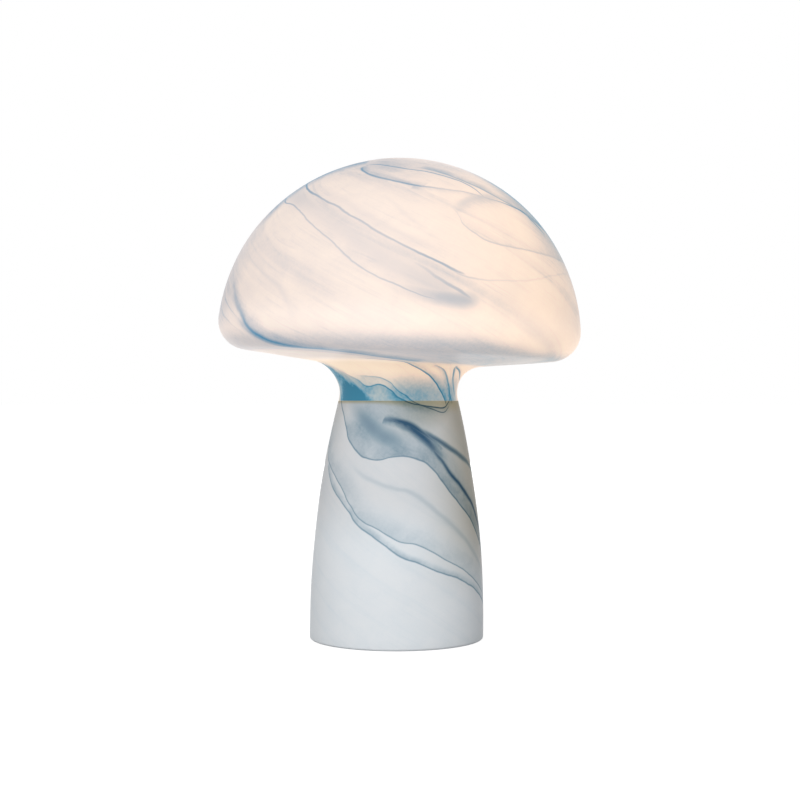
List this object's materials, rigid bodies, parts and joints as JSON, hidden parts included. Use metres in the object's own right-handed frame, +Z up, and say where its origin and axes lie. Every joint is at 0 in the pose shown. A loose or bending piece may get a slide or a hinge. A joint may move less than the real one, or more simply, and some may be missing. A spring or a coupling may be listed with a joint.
{
  "type": "mushroom table lamp",
  "caption": "Mushroom-shaped table lamp: one blown marbled opal glass body with a domed cap and a flared stem over a stand with a lampholder, a shield disc at the neck and a small globe bulb",
  "frame": {"origin": "centre of the lamp's axis on the table plane, at the underside of the glass foot and the rubber feet", "axes": "+Z up along the lamp's axis; -Y is the front, as pictured; +Y is the back with the cord inlet; +X to the right seen from the front"},
  "size_m": [0.2198, 0.2198, 0.2917],
  "materials": {
    "marbled_glass": "gloss",
    "white_steel": "satin",
    "zinc_steel": "satin",
    "soft_trim": "matte",
    "foot_rubber": "matte",
    "holder_plastic": "satin",
    "inlet_plastic": "matte",
    "core_ceramic": "matte",
    "block_plastic": "matte",
    "contact_brass": "satin",
    "live_brown": "satin",
    "neutral_blue": "satin",
    "bulb_metal": "gloss",
    "pin_metal": "satin",
    "insulator_dark": "gloss",
    "bulb_white": "gloss",
    "board_green": "satin",
    "plate_aluminium": "satin",
    "led_phosphor": "matte",
    "bulb_opal": "satin"
  },
  "bodies": {
    "stand": {"base_pan": "white_steel", "bottom_cover": "white_steel", "neck_disc": "white_steel", "pan_posts": "zinc_steel", "cover_screws": "zinc_steel", "centre_tube": "zinc_steel", "lower_tube_nut": "zinc_steel", "lock_washer": "zinc_steel", "upper_washer": "zinc_steel", "upper_tube_nut": "zinc_steel", "holder_lock_screw": "zinc_steel", "terminal_screws": "zinc_steel", "block_screws": "zinc_steel", "edge_trim": "soft_trim", "disc_edge_trim": "soft_trim", "rubber_feet": "foot_rubber", "holder_cap": "holder_plastic", "holder_barrel": "holder_plastic", "lower_shade_ring": "holder_plastic", "upper_shade_ring": "holder_plastic", "cord_bush": "inlet_plastic", "holder_core": "core_ceramic", "terminal_block": "block_plastic", "block_sleeves": "contact_brass", "centre_contact": "contact_brass", "side_contact": "contact_brass", "live_lead": "live_brown", "neutral_lead": "neutral_blue"},
    "glass": {"glass_shade": "marbled_glass"},
    "bulb": {"bulb_pin": "pin_metal", "bulb_insulator": "insulator_dark", "bulb_shell": "bulb_metal", "driver_board": "board_green", "bulb_housing": "bulb_white", "led_plate": "plate_aluminium", "led_chips": "led_phosphor", "bulb_globe": "bulb_opal"}
  },
  "joints": [
    {"name": "glass_lift", "type": "slide", "parent": "stand", "child": "glass", "axis": [0, 0, 1], "range_m": [0, 0.26]},
    {"name": "bulb_unscrew", "type": "slide", "parent": "stand", "child": "bulb", "axis": [0, 0, 1], "range_m": [0, 0.03]}
  ]
}
